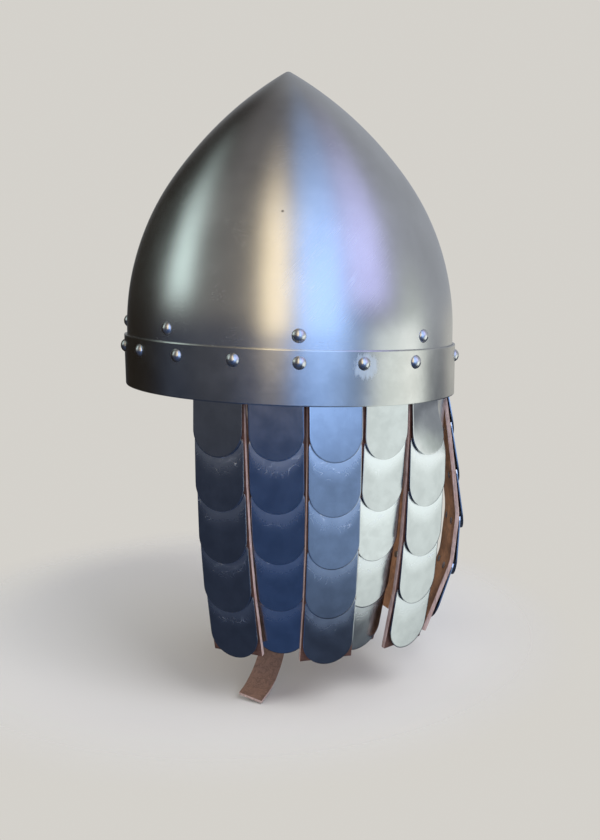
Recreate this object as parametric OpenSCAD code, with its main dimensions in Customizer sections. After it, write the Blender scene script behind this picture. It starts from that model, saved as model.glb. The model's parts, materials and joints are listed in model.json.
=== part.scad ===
// Pointed steel helmet with a riveted brow band and an aventail of scaled leather strips.
// The origin is the centre of the rim on the skull's axis, +Z runs up that axis, the face looks
// along -Y and the wearer's left is +X. Angles round the helmet count from the face to the left.

/* [Skull] */
// Outer radius of the skull's straight lower wall
skull_r = 109.5; // [100:0.5:120]
// Thickness of the skull's sheet
skull_t = 1.6; // [1:0.1:2.4]
// Height above the rim at which the wall starts to curve in
shoulder_z = 38.3; // [34:0.1:60]
// Radius of the lower arc of the side profile
flank_arc_r = 168; // [155:1:190]
// Angle through which the lower arc turns
flank_turn = 36.4; // [28:0.1:42]
// Radius of the upper arc that runs to the point
crown_arc_r = 254; // [230:1:300]
// Rounding of the point
tip_r = 4; // [2.5:0.5:8]
// Slope of the rim, which is higher at the face
rim_slope = 2.19; // [0:0.01:4]

/* [Brow band] */
// Height of the band
band_h = 32.7; // [28:0.1:45]
// Thickness of the band's sheet
band_t = 1.8; // [1:0.1:2.4]

/* [Rivets of the skull] */
// Radius of a domed head
head_r = 4.15; // [3:0.05:5]
// Height of a domed head
head_h = 2.6; // [1.5:0.1:3.5]
// Radius of a shank
shank_r = 1.6; // [1.2:0.1:2]
// Radius of the clenched end inside
clench_r = 3; // [2.4:0.1:3.6]
// Height of the clenched end inside
clench_h = 1; // [0.6:0.1:1.6]
// Height of the band's row of rivets above the rim
band_rivet_z = 25.3; // [23.5:0.1:27]
// Height of the liner's row of rivets above the rim
liner_rivet_z = 40.5; // [39:0.1:44]

/* [Aventail] */
// Number of hanging strips
strips = 13; // [9:2:15]
// Angle between two neighbouring strips
strip_pitch_angle = 19.5; // [19:0.1:20.5]
// Room between the leathers of two neighbouring strips at the bend
strip_room = 0.55; // [0.4:0.05:3]
// Thickness of the leather
leather_t = 3; // [2:0.1:3.2]
// Distance of the strips' leather from the inside of the skull at the bend
bend_inset = 5.9; // [5.4:0.1:6.9]
// Height of the bend above the rim
bend_z = 10; // [9:0.1:12]
// Inward lean of the leather under each row of scales, from the top row down
row_lean_angles = [0.5, 3, 5, 9, 13];
// Inward lean under each row of the strip at the middle of the back, which has bowed
back_lean_angles = [-8.3, -7.6, -6, 6, 21];
// How much lower the leather of that strip ends
back_tail = 8; // [0:0.5:12]
// Extra inward lean of the strips whose edges lie under their neighbours'
tuck_lean_angle = 4; // [3.8:0.1:4.6]
// How far the first scale's top lies below the bend
lead = 2.5; // [2:0.1:4]

/* [Scales] */
// Rows of scales on a strip
rows = 5; // [3:1:6]
// Distance from one row to the next along the leather
row_pitch = 33.3; // [32:0.1:35]
// How far a scale stays inside the edges of its strip
scale_margin = 0.75; // [0.5:0.05:3]
// Length of a scale, down to the lowest point of its round end
scale_l = 45.5; // [43:0.1:48]
// How much shorter the scales of the top row are
first_cut = 4; // [2:0.1:6]
// Thickness of a scale
scale_t = 1; // [0.7:0.1:1.2]
// Bevel of a scale's upper corners
scale_bevel = 2.5; // [1:0.1:4]
// Angle at which each scale stands off the leather, so that the next one fits under it
scale_lift = 3.5; // [3.5:0.1:4]
// Distance of a scale's two rivets from its middle line
scale_rivet_x = 8; // [6:0.1:9]
// Distance of a scale's rivets below its upper edge
scale_rivet_drop = 5; // [4:0.1:6]
// Radius of a scale rivet's shank
pin_r = 1.25; // [1:0.05:1.5]
// Radius of a scale rivet's flat head and of its clenched end
pin_head_r = 2.4; // [2:0.1:2.8]
// Height of a scale rivet's flat head and of its clenched end
pin_head_h = 0.5; // [0.3:0.05:0.5]

/* [Liner] */
// Height of the leather sweat band
liner_h = 12; // [8:0.5:14]
// Thickness of the sweat band and of the crown straps
liner_t = 2.2; // [1.6:0.1:2.6]
// Width of a crown strap
crown_strap_w = 20; // [14:0.5:24]
// Number of crown straps that cross at the top
crown_straps = 4; // [2:2:4]
// Height of the lowest crown strap's arch above its straight ends
crown_rise = 66; // [56:1:80]

/* [Chin straps] */
// Width of a chin strap
chin_w = 17; // [14:0.5:18]
// Thickness of a chin strap
chin_t = 2.2; // [1.6:0.1:2.6]
// Inward lean of the hanging chin straps
chin_lean_angle = 15; // [14:0.5:17]
// Straight length of the left strap above its curled end
chin_left_l = 204; // [195:1:215]
// Length of the right strap down to the buckle's bar
chin_right_l = 112; // [90:1:130]
// Curl of the left strap's end, in steps of outward turn
curl_turn_angles = [0, 18, 42, 66, 84];
// Length of one step of the curl
curl_step = 10; // [8:0.5:12]
// Sideways slant of the curled end, towards the face
curl_slant_angle = 24; // [10:1:30]
// Radius of a punched hole in the left strap
punch_r = 1.7; // [1.5:0.1:2]
// Distance between two punched holes
punch_pitch = 18; // [14:1:22]

/* [Buckle] */
// Radius of the buckle's wire
wire_r = 1.5; // [1.2:0.1:1.8]
// Inner width of the buckle's frame
buckle_w = 20; // [19.5:0.5:24]
// Inner height of the buckle's frame
buckle_h = 14; // [11:0.5:18]
// Radius of the bends at the frame's corners, at the wire's middle line
corner_r = 3; // [2.5:0.1:4]
// Radius of the tongue's rod
tongue_r = 1.1; // [0.9:0.1:1.3]
// Width of the tongue's eye along the bar
eye_w = 3; // [2.4:0.1:4]

/* [Hidden] */
$fn = 48;
seat = 0.05;          // gap between pieces that are riveted together
gap = 0.3;            // gap between a hanging piece and what it hangs from
run = 0.05;           // radial clearance of a pin in its hole
overshoot = 10;       // how far a cutting shape runs past what it cuts

skull_in_r = skull_r - skull_t;
band_in_r = skull_r + seat;
band_out_r = band_in_r + band_t;
half_pitch = strip_pitch_angle / 2;
bend_r = skull_in_r - bend_inset;
leather_w = 2 * bend_r * sin(half_pitch) - strip_room;
scale_w = leather_w - 2 * scale_margin;
back_strip = (strips + 1) / 2;
first_angle = 180 - (back_strip - 1) * strip_pitch_angle;
function strip_angle(i) = first_angle + (i - 1) * strip_pitch_angle;
function is_tucked(i) = abs(i - back_strip) % 2 == 1;
function rim_z(angle) = tan(rim_slope) * skull_r * cos(angle);

// Side profile: a straight wall, a lower arc, an upper arc and a rounded point
flank_c = [skull_r - flank_arc_r, shoulder_z];
flank_end = flank_c + flank_arc_r * [cos(flank_turn), sin(flank_turn)];
crown_c = flank_end - crown_arc_r * [cos(flank_turn), sin(flank_turn)];
tip_c = [0, crown_c.y + sqrt(pow(crown_arc_r - tip_r, 2) - pow(crown_c.x, 2))];
crown_end = atan2(tip_c.y - crown_c.y, -crown_c.x);
function arc(c, r, a, b, n) = [for (i = [0 : n])
    let (turn = a + (b - a) * i / n)
    c + r * [cos(turn), sin(turn)]];
function tail(list) = [for (i = [1 : len(list) - 1]) list[i]];
function reversed(list) = [for (i = [len(list) - 1 : -1 : 0]) list[i]];
function side_profile(inset) = concat(
    arc(flank_c, flank_arc_r - inset, 0, flank_turn, 14),
    tail(arc(crown_c, crown_arc_r - inset, flank_turn, crown_end, 10)),
    tail(arc(tip_c, tip_r - inset, crown_end, 90, 4)));

// Angles of the rivets: seven a side from the face, and one a side near the back
band_angles = [for (side = [-1, 1]) each [for (a = [10, 30, 50, 70, 90, 110, 130, 167]) side * a]];
liner_angles = [for (i = [0 : 7]) i * 45];

// The fixed part of the skirt lies against the skull and steps in to the bend
skirt_top_z = band_rivet_z + clench_r + 2 * gap;
skirt_step_z = 21.5;
skirt_out_r = (skull_in_r - seat) * cos(half_pitch);
skirt_tab_half_angle = 4;
skirt_tab_lap_angle = 0.4;
skirt_tab_angle = first_angle - half_pitch - skirt_tab_half_angle + skirt_tab_lap_angle;

// A hanging strip is a list of stretches, each [length, inward lean, sideways slant]
end_margin = 1.5;
scale_set = 1;
bead_inset = 0.5;
function scale_length(row) = row == 1 ? scale_l - first_cut : scale_l;
function leans(i) = i == back_strip ? back_lean_angles : row_lean_angles;
function lean(i, row) = leans(i)[min(row, len(leans(i))) - 1] + (is_tucked(i) ? tuck_lean_angle : 0);
function last_length(i) = scale_set + scale_l - end_margin + (i == back_strip ? back_tail : 0);
function row_length(i, row) = row == rows ? last_length(i) : row == 1 ? row_pitch - first_cut : row_pitch;
function strip_path(i) = concat([[lead - scale_set, lean(i, 1), 0]],
    [for (row = [1 : rows]) [row_length(i, row), lean(i, row), 0]]);

function about_y(v, a) = [v.x * cos(a) + v.z * sin(a), v.y, v.z * cos(a) - v.x * sin(a)];
function about_x(v, a) = [v.x, v.y * cos(a) - v.z * sin(a), v.y * sin(a) + v.z * cos(a)];
function aim(v, s) = about_x(about_y(v, s[2]), s[1]);
function station(path, k) = k == 0 ? [0, 0, 0]
    : station(path, k - 1) + path[k - 1][0] * aim([0, 0, -1], path[k - 1]);
function mean_stretch(path, k) = k == 0 ? path[0] : k == len(path) ? path[k - 1]
    : (path[k - 1] + path[k]) / 2;

// The liner hangs from the upper rivets, and the crown straps cross over the head
liner_room = 0.7;
strap_room = 0.6;
liner_out_r = skull_in_r - liner_room;
liner_in_r = liner_out_r - liner_t;
crown_a = sqrt(pow(liner_in_r, 2) - pow(crown_strap_w / 2, 2)) - 2 * seat;
crown_step = liner_t + strap_room;
crown_end_drop = 7;
crown_foot_z = liner_rivet_z + clench_r + tan(rim_slope) * skull_r + gap;
crown_button_r = 7;

// The chin straps hang under the ends of the crown strap that runs from side to side
chin_bend_r = crown_a - liner_t / 2;
chin_bend_z = liner_rivet_z - crown_end_drop - 2 * gap - chin_t / 2;
chin_lead = 18;
chin_lead_angle = 35;
left_path = concat([[chin_lead, chin_lead_angle, 0], [chin_left_l - chin_lead, chin_lean_angle, 0]],
    [for (a = curl_turn_angles) [curl_step, chin_lean_angle - a, curl_slant_angle]]);
right_path = [[chin_lead, chin_lead_angle, 0], [chin_right_l - chin_lead, chin_lean_angle, 0]];
loop_r = wire_r + run + chin_t;
slot_w = eye_w + 2 * gap;
stud_r = 2.5;
stud_h = 1.4;
stud_drop = 168;
punch_count = 5;

strip_names = [for (i = [1 : strips], part = ["leather", "scales", "rivets"]) str("strip_", i, "_", part)];

// Placing modules

// Everything above the sloping rim plane, or above a plane so far over it
module above_rim(z) {
    size = 3 * skull_r;
    rotate([-rim_slope, 0, 0]) translate([-size / 2, -size / 2, z]) cube(size);
}

// A frame at an angle and radius: -Y points out and the height counts from the rim
module at_wall(angle, r, z) {
    rotate([0, 0, angle]) translate([0, -r, z + rim_z(angle)]) children();
}

// A frame on a stretch of a hanging path, so far below its upper end
module on_stretch(path, k, drop = 0) {
    s = path[k];
    translate(station(path, k)) rotate([s[1], 0, 0]) rotate([0, s[2], 0])
        translate([0, 0, -drop]) children();
}

module at_strip(i) at_wall(strip_angle(i), bend_r, bend_z) children();

module at_chin(side) at_wall(side * 90, chin_bend_r, chin_bend_z) children();

// Shared forms

// A flat strip that follows a path, with its thickness centred on it
module ribbon(path, w, t) {
    n = len(path);
    corners = [[-w / 2, -t / 2], [w / 2, -t / 2], [w / 2, t / 2], [-w / 2, t / 2]];
    points = [for (k = [0 : n], c = corners) station(path, k) + aim([c.x, c.y, 0], mean_stretch(path, k))];
    sides = [for (k = [0 : n - 1], j = [0 : 3])
        let (a = 4 * k + j, b = 4 * k + (j + 1) % 4)
        each [[a, b, a + 4], [b, b + 4, a + 4]]];
    polyhedron(points, concat([[2, 1, 0], [3, 2, 0]], sides,
        [[4 * n, 4 * n + 1, 4 * n + 2], [4 * n, 4 * n + 2, 4 * n + 3]]));
}

// The round upper edge of a strip, on the axis of its bend
module bend_edge(w, t) {
    rotate([0, 90, 0]) cylinder(r = t / 2 + seat, h = w, center = true);
}

// Half of a domed head's section
module dome_section(r, h) {
    ball_r = (r * r + h * h) / (2 * h);
    intersection() {
        translate([0, h - ball_r]) circle(r = ball_r, $fn = 96);
        square([r, h]);
    }
}

// A domed rivet whose head sits at y = 0 and points out, clenched so far inside
module domed_rivet(grip) {
    rotate([90, 0, 0]) rotate_extrude() {
        dome_section(head_r, head_h);
        translate([0, -grip - seat]) square([shank_r, grip + 2 * seat]);
        translate([0, -grip - clench_h]) square([clench_r, clench_h]);
    }
}

// The room that a rivet's shank and its clenched end take out of the leather
module rivet_room(grip) {
    rotate([90, 0, 0]) {
        translate([0, 0, -grip - overshoot]) cylinder(r = shank_r + run, h = grip + 2 * overshoot);
        translate([0, 0, -grip - overshoot]) cylinder(r = clench_r + run, h = overshoot + seat);
    }
}

module shank_hole(depth) {
    rotate([90, 0, 0]) cylinder(r = shank_r + run, h = depth, center = true);
}

// Skull and band

module skull() color([0.72, 0.73, 0.74]) difference() {
    intersection() {
        rotate_extrude($fn = 180) polygon(concat(
            [[skull_r, -overshoot]], side_profile(0),
            reversed(side_profile(skull_t)), [[skull_in_r, -overshoot]]));
        above_rim(0);
    }
    for (a = band_angles) at_wall(a, skull_r, band_rivet_z) shank_hole(overshoot);
    for (a = liner_angles) at_wall(a, skull_r, liner_rivet_z) shank_hole(overshoot);
}

module brow_band() color([0.68, 0.68, 0.68]) difference() {
    translate([0, 0, -overshoot]) cylinder(r = band_out_r, h = band_h + 2 * overshoot, $fn = 180);
    translate([0, 0, -2 * overshoot]) cylinder(r = band_in_r, h = band_h + 4 * overshoot, $fn = 180);
    above_rim(band_h);
    mirror([0, 0, 1]) rotate([2 * rim_slope, 0, 0]) above_rim(0);
    for (a = band_angles) at_wall(a, band_out_r, band_rivet_z) shank_hole(overshoot);
}

function holds_skirt(a) = abs(a) >= skirt_tab_angle - skirt_tab_half_angle;
function band_grip(a) = band_out_r - (holds_skirt(a) ? skirt_out_r - leather_t + seat : skull_in_r - seat);
module band_rivets() color([0.8, 0.8, 0.8]) for (a = band_angles)
    at_wall(a, band_out_r, band_rivet_z) domed_rivet(band_grip(a));

liner_grip = skull_r - crown_a + liner_t + seat;
module liner_rivets() color([0.8, 0.8, 0.8]) for (a = liner_angles)
    at_wall(a, skull_r, liner_rivet_z) domed_rivet(liner_grip);

// The skirt's fixed leather: a flat panel over each strip, mitred, and a tab at each end
module skirt_panel(angle, half) {
    low_z = bend_z + leather_t / 2 + gap + seat;
    reach = 2 * skull_r;
    rotate([0, 0, angle]) intersection() {
        translate([0, 0, rim_z(angle)]) rotate([90, 0, 90]) linear_extrude(reach, center = true) polygon([
            [-skirt_out_r, skirt_top_z], [-skirt_out_r, skirt_step_z],
            [-bend_r - leather_t / 2, low_z], [-bend_r + leather_t / 2, low_z],
            [-skirt_out_r + leather_t, skirt_step_z], [-skirt_out_r + leather_t, skirt_top_z]]);
        linear_extrude(2 * skull_r, center = true)
            polygon([[0, 0], [-reach * tan(half), -reach], [reach * tan(half), -reach]]);
    }
}

module skirt_ring() color([0.36, 0.2, 0.14]) difference() {
    union() {
        for (i = [1 : strips]) skirt_panel(strip_angle(i), half_pitch + seat);
        for (side = [-1, 1]) skirt_panel(side * skirt_tab_angle, skirt_tab_half_angle);
    }
    for (a = band_angles) if (holds_skirt(a)) at_wall(a, band_out_r, band_rivet_z) rivet_room(band_grip(a));
}

// Liner

module sweat_band() color([0.33, 0.2, 0.13]) difference() {
    translate([0, 0, shoulder_z - 2 * overshoot]) cylinder(r = liner_out_r, h = 5 * overshoot, $fn = 180);
    translate([0, 0, shoulder_z - 3 * overshoot]) cylinder(r = liner_in_r, h = 7 * overshoot, $fn = 180);
    above_rim(liner_rivet_z + liner_h / 2);
    mirror([0, 0, 1]) rotate([2 * rim_slope, 0, 0]) above_rim(liner_h / 2 - liner_rivet_z);
    for (a = liner_angles) at_wall(a, skull_r, liner_rivet_z) shank_hole(4 * overshoot);
}

module arch_section(rise) {
    foot = crown_foot_z - liner_rivet_z + 2 * overshoot;
    inner_a = crown_a - liner_t;
    function half_oval(a, b) = [for (t = [0 : 7.5 : 180]) [a * cos(t), b * sin(t)]];
    polygon(concat([[crown_a, -foot]], half_oval(crown_a, rise + liner_t), [[-crown_a, -foot]],
        [[-inner_a, -foot]], reversed(half_oval(inner_a, rise)), [[inner_a, -foot]]));
}

function crown_strap_angle(k) = (k - 1) * 180 / crown_straps;
module crown_strap(k) {
    angle = crown_strap_angle(k);
    color([0.42, 0.27, 0.18]) difference() {
        intersection() {
            rotate([0, 0, angle]) translate([0, 0, crown_foot_z]) rotate([90, 0, 90])
                linear_extrude(crown_strap_w, center = true) arch_section(crown_rise + (k - 1) * crown_step);
            above_rim(liner_rivet_z - crown_end_drop);
        }
        for (a = [angle, angle + 180]) at_wall(a, skull_r, liner_rivet_z) shank_hole(4 * overshoot);
        cylinder(r = shank_r + run, h = 2 * skull_r);
    }
}

// The button's lower washer stays clear of the arch's curve
crown_bottom_z = crown_foot_z + crown_rise;
crown_stack = (crown_straps - 1) * crown_step + liner_t;
module crown_button() color([0.8, 0.8, 0.8]) translate([0, 0, crown_bottom_z]) {
    translate([0, 0, -clench_h - 2 * gap]) cylinder(r = crown_button_r, h = clench_h);
    translate([0, 0, -clench_h - gap]) cylinder(r = shank_r, h = crown_stack + 2 * clench_h);
    translate([0, 0, crown_stack + seat]) cylinder(r = crown_button_r, h = clench_h);
}

// Strips of the aventail

module at_scale(i, row) on_stretch(strip_path(i), row, scale_set) children();

module scale_shape(row) {
    round_z = scale_w / 2 - scale_length(row);
    translate([0, round_z]) circle(d = scale_w, $fn = 96);
    polygon([[-scale_w / 2, round_z], [scale_w / 2, round_z], [scale_w / 2, -scale_bevel],
        [scale_w / 2 - scale_bevel, 0], [scale_bevel - scale_w / 2, 0], [-scale_w / 2, -scale_bevel]]);
}

scale_stand = scale_rivet_drop * sin(scale_lift);
pin_grip = leather_t / 2 + 2 * seat + scale_stand + scale_t + pin_head_r * sin(scale_lift);
module each_pin(i) {
    for (row = [1 : rows], side = [-1, 1]) at_scale(i, row)
        translate([side * scale_rivet_x, 0, -scale_rivet_drop]) rotate([90, 0, 0]) children();
}

// The bore of a scale's rivet, which ends short of the scale that lies over it
module pin_bore() {
    translate([0, 0, -leather_t]) cylinder(r = pin_r + run, h = leather_t + pin_grip + seat, $fn = 24);
}

module strip_leather(i) color([0.4, 0.2, 0.15]) difference() {
    at_strip(i) union() {
        ribbon(strip_path(i), leather_w, leather_t);
        bend_edge(leather_w - 2 * bead_inset, leather_t);
    }
    at_strip(i) each_pin(i) pin_bore();
}

module strip_scales(i) color([0.55, 0.6, 0.68]) difference() {
    at_strip(i) for (row = [1 : rows]) at_scale(i, row)
        translate([0, -leather_t / 2 - seat, 0]) rotate([-scale_lift, 0, 0])
            rotate([90, 0, 0]) linear_extrude(scale_t) scale_shape(row);
    at_strip(i) each_pin(i) pin_bore();
}

module strip_rivets(i) color([0.75, 0.75, 0.75]) at_strip(i) each_pin(i) rotate_extrude($fn = 24) {
    translate([0, -leather_t / 2 - seat]) square([pin_r, leather_t / 2 + 2 * seat + pin_grip]);
    translate([0, pin_grip]) square([pin_head_r, pin_head_h]);
    translate([0, -leather_t / 2 - seat - pin_head_h]) square([pin_head_r, pin_head_h]);
}

// Chin straps and buckle

module stud_place() on_stretch(left_path, 1, stud_drop) children();

module chin_strap_left() color([0.45, 0.3, 0.24]) at_chin(1) difference() {
    union() {
        ribbon(left_path, chin_w, chin_t);
        bend_edge(chin_w, chin_t);
    }
    stud_place() rotate([90, 0, 0]) cylinder(r = pin_r + run, h = 4 * chin_t, center = true, $fn = 24);
    for (n = [1 : punch_count]) on_stretch(left_path, 1, stud_drop - n * punch_pitch)
        rotate([90, 0, 0]) cylinder(r = punch_r, h = 4 * chin_t, center = true, $fn = 24);
}

module chin_strap_stud() color([0.8, 0.8, 0.8]) at_chin(1) stud_place() rotate([90, 0, 0]) rotate_extrude() {
    translate([0, chin_t / 2 + seat]) dome_section(stud_r, stud_h);
    translate([0, -chin_t / 2 - 2 * seat]) square([pin_r, chin_t + 4 * seat]);
    translate([0, -chin_t / 2 - seat - pin_head_h]) square([stud_r, pin_head_h]);
}

// The right strap folds round the buckle's bar, with a slot for the tongue's eye
module chin_strap_right() color([0.45, 0.3, 0.24]) at_chin(-1) difference() {
    union() {
        difference() {
            ribbon(right_path, chin_w, chin_t);
            at_bar() cube([chin_w + gap, 2 * loop_r, 2 * wire_r], center = true);
        }
        bend_edge(chin_w, chin_t);
        at_bar() rotate([0, 90, 0]) cylinder(r = loop_r, h = chin_w, center = true);
    }
    at_bar() {
        rotate([0, 90, 0]) cylinder(r = wire_r + run, h = 2 * chin_w, center = true);
        cube([slot_w, 4 * loop_r, 2 * loop_r + 2 * gap], center = true);
    }
}

module at_bar() on_stretch(right_path, 1, chin_right_l - chin_lead) children();

// A straight wire between two points of the frame's plane
module wire(a, b) {
    d = b - a;
    translate([a.x, 0, a.y]) rotate([0, atan2(d.x, d.y), 0]) cylinder(r = wire_r, h = norm(d));
}

module buckle_frame() color([0.7, 0.7, 0.7]) at_chin(-1) at_bar() {
    x = buckle_w / 2 + wire_r;
    low = -buckle_h - 2 * wire_r;
    wire([-x, 0], [x, 0]);
    for (side = [-1, 1]) {
        wire([side * x, 0], [side * x, low + corner_r]);
        translate([side * x, 0, 0]) sphere(r = wire_r);
        translate([side * (x - corner_r), 0, low + corner_r]) rotate([90, 0, 0])
            rotate([0, 0, side > 0 ? -90 : 180]) rotate_extrude(angle = 90)
                translate([corner_r, 0]) circle(r = wire_r);
    }
    wire([corner_r - x, low], [x - corner_r, low]);
}

module buckle_tongue() color([0.75, 0.75, 0.75]) at_chin(-1) at_bar() {
    eye_r = wire_r + run + tongue_r;
    reach = buckle_h + 2 * wire_r;
    rest = asin((wire_r + tongue_r + gap) / reach);
    rotate([-rest, 0, 0]) difference() {
        union() {
            rotate([0, 90, 0]) cylinder(r = eye_r, h = eye_w, center = true);
            translate([0, 0, -reach - wire_r]) cylinder(r = tongue_r, h = reach + wire_r);
            translate([0, 0, -reach - wire_r]) sphere(r = tongue_r);
        }
        rotate([0, 90, 0]) cylinder(r = wire_r + run, h = 2 * eye_w, center = true);
    }
}

skull();
brow_band();
band_rivets();
liner_rivets();
skirt_ring();
sweat_band();
for (k = [1 : crown_straps]) crown_strap(k);
crown_button();
chin_strap_left();
chin_strap_stud();
chin_strap_right();
buckle_frame();
buckle_tongue();
for (i = [1 : strips]) {
    strip_leather(i);
    strip_scales(i);
    strip_rivets(i);
}
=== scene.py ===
import json
import math
import random

import bmesh
import bpy
from bpy.props import FloatProperty, FloatVectorProperty, PointerProperty
from mathutils import Matrix, Vector


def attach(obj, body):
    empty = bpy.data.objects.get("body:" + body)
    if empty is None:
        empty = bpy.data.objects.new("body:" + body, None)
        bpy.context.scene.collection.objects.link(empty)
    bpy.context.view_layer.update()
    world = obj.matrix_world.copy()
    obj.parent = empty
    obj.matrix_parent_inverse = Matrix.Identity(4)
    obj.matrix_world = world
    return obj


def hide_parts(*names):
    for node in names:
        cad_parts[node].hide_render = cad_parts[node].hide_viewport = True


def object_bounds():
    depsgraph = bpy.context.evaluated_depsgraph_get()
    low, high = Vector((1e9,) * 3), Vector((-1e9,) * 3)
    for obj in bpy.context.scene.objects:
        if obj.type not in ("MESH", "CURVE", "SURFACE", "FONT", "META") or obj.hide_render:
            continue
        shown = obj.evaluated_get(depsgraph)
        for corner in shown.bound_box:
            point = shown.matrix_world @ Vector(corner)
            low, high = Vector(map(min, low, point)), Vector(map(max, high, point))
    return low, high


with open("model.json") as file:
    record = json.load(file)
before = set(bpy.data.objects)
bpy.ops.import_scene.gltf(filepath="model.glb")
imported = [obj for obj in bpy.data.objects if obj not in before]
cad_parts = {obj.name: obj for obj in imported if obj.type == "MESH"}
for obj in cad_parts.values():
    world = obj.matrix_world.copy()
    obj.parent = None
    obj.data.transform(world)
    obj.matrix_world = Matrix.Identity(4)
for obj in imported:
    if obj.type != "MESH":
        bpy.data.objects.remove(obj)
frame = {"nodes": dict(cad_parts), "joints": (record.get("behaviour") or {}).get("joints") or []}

bl_info = {
    "name": "Scaled Helmet",
    "version": (1, 0, 0),
    "blender": (4, 5, 0),
    "location": "View3D > Sidebar > Helmet",
    "description": "A pointed steel helmet with a brow band and strips of steel scales on leather",
    "category": "Add Mesh",
}

CAD_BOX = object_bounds()
JOINTS = {j["child"]: j for j in frame["joints"]}
STRIPS = range(1, 14)
BACK_STRIP = 7
MM = 0.001

# Heights and angles that the scene shares with the part
RIM_SLOPE = math.radians(2.19)
BAND_RIVETS = [side * a for side in (-1, 1) for a in (10, 30, 50, 70, 90, 110, 130, 167)]
LINER_RIVETS = [45 * i for i in range(8)]
BAND_RIVET_Z = 25.3 * MM
LINER_RIVET_Z = 40.5 * MM
SKIRT_FROM = 45.7
ROW_LEANS = (0.5, 3, 5, 9, 13)
BACK_LEANS = (-8.3, -7.6, -6, 6, 21)
BACK_TAIL = 8 * MM
TUCK_LEAN = 4
FIRST_CUT = 4 * MM
LEAD = 2.5 * MM
SCALE_SET = 1 * MM
END_MARGIN = 1.5 * MM
SEAT = 0.05 * MM
HEAD_R = 4.15 * MM
HEAD_H = 2.6 * MM
PIN_R = 2.4 * MM
PIN_SIDE = 8 * MM
PIN_DROP = 5 * MM
STRAP_ROOM = 0.6 * MM

# The scales' slope, and how far each one crowns across and bows lengthwise
SCALE_LIFT = math.radians(2.6)
SCALE_CROWN = 0.15 * MM
SCALE_BOW = 0.1 * MM

# Strips that are twisted with wear: the edge that stays, and the twist in degrees, reached over a height
WARPS = {5: (-1, -14), 6: (1, 8)}
WARP_FROM = 14 * MM
WARP_FULL = 48 * MM

# The chin straps' stretches, the left one's curl as further leans and slants, and its stud and holes
CHIN_LEAD = 18 * MM
CHIN_LEAD_LEAN = 35
CHIN_LEAN = 15
CHIN_SLANT = 4.2
LEFT_DROP = 186 * MM
RIGHT_DROP = 94 * MM
CURL_STEP = 10 * MM
CURL = ((0, 8), (18, 14), (42, 22), (66, 27), (84, 30))
STUD_DROP = 168 * MM
PUNCH_PITCH = 18 * MM


def length_prop(name, description, default):
    """A length that a user may change."""
    return FloatProperty(name=name, description=description, default=default, unit="LENGTH")


def colour_prop(name, description, default):
    """A colour that a user may change."""
    return FloatVectorProperty(name=name, description=description, default=default, subtype="COLOR",
                               size=3, min=0, max=1)


class HelmetSizes(bpy.types.PropertyGroup):
    """Sizes of the helmet's pieces."""
    skull_r: length_prop("Skull radius", "Outer radius of the skull's lower wall", 109.5 * MM)
    skull_t: length_prop("Skull sheet", "Thickness of the skull's sheet", 1.6 * MM)
    band_h: length_prop("Band height", "Height of the brow band", 32.7 * MM)
    band_t: length_prop("Band sheet", "Thickness of the brow band", 1.8 * MM)
    leather_w: length_prop("Strip width", "Width of a leather strip", 34 * MM)
    leather_t: length_prop("Leather", "Thickness of the strips", 3 * MM)
    row_pitch: length_prop("Row pitch", "From one row of scales to the next", 33.3 * MM)
    scale_w: length_prop("Scale width", "Width of a scale", 32.5 * MM)
    scale_l: length_prop("Scale length", "Length of a scale", 45.5 * MM)
    scale_t: length_prop("Scale sheet", "Thickness of a scale", 1 * MM)
    strap_t: length_prop("Strap leather", "Thickness of the liner and the chin straps", 2.2 * MM)
    chin_w: length_prop("Chin strap", "Width of a chin strap", 17 * MM)
    crown_w: length_prop("Crown strap", "Width of a crown strap", 20 * MM)


class HelmetFinish(bpy.types.PropertyGroup):
    """Colours of the helmet's finishes."""
    steel: colour_prop("Skull steel", "Brushed steel of the skull", (0.60, 0.605, 0.61))
    band: colour_prop("Band steel", "Satin steel of the brow band", (0.55, 0.55, 0.54))
    scale: colour_prop("Scale steel", "Satin steel of the scales", (0.50, 0.52, 0.54))
    rivet: colour_prop("Rivet steel", "Polished steel of the rivets", (0.68, 0.68, 0.69))
    flesh: colour_prop("Flesh side", "Rough tan inner side of the strips", (0.34, 0.165, 0.085))
    hide: colour_prop("Strip leather", "Red-brown face of the strips", (0.115, 0.05, 0.036))
    cut_edge: colour_prop("Cut edge", "Raw fibrous edge of the leather", (0.50, 0.37, 0.34))
    strap: colour_prop("Chin strap", "Tan leather of the chin straps", (0.20, 0.115, 0.08))
    lining: colour_prop("Lining", "Leather of the liner", (0.17, 0.085, 0.045))


# Shader nodes

class Val:
    """A shader value, on which arithmetic adds Math nodes."""

    def __init__(self, nodes, socket):
        self.nodes = nodes
        self.socket = socket

    def math(self, operation, *values):
        """The result of a Math node on the given values."""
        return self.nodes.node("ShaderNodeMath", {"operation": operation}, dict(enumerate(values)))

    def __add__(self, other):
        return self.math("ADD", self, other)

    def __sub__(self, other):
        return self.math("SUBTRACT", self, other)

    def __rsub__(self, other):
        return self.math("SUBTRACT", other, self)

    def __mul__(self, other):
        return self.math("MULTIPLY", self, other)

    __radd__ = __add__
    __rmul__ = __mul__

    def absolute(self):
        return self.math("ABSOLUTE", self)

    def wrapped(self):
        """An angle in degrees, brought between -180 and 180."""
        return self.math("WRAP", self, 180, -180)

    def rise(self, low, high):
        """Eases from 0 at low to 1 at high."""
        return self.nodes.node("ShaderNodeMapRange", {"interpolation_type": "SMOOTHSTEP"},
                               {"Value": self, "From Min": low, "From Max": high})


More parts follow.
